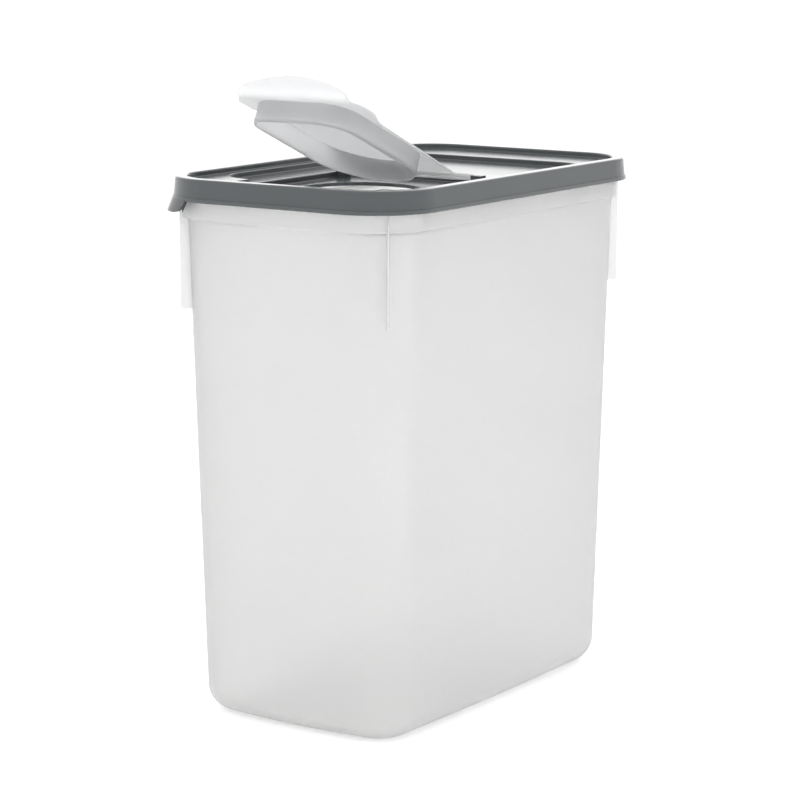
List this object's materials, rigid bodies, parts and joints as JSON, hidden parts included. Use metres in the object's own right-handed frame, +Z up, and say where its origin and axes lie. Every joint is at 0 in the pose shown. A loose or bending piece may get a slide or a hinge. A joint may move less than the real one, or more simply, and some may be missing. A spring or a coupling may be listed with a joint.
{
  "type": "pet food bin",
  "caption": "Tall tapered translucent storage bin with a dark lift-off lid and a translucent hinged pouring flap, shown part open.",
  "frame": {"origin": "middle of the underside, on the surface the bin stands on", "axes": "+Z up, the spout end of the lid faces -Y, the flap's hinge pins lie along X"},
  "size_m": [0.2031, 0.3211, 0.4375],
  "materials": {
    "container": "frosted translucent polypropylene",
    "lid": "fine satin grain, dark grey",
    "flap": "frosted translucent polypropylene"
  },
  "bodies": {
    "container": {"container": "container"},
    "lid": {"lid": "lid"},
    "flap": {"flap": "flap"}
  },
  "joints": [
    {"name": "lid_lift", "type": "slide", "parent": "container", "child": "lid", "axis": [0, 0, 1], "range_m": [0, 0.15]},
    {"name": "flap_hinge", "type": "hinge", "parent": "lid", "child": "flap", "pos_m": [0, 0.004, 0.363], "axis": [-1, 0, 0], "range_deg": [-23, 87]}
  ]
}
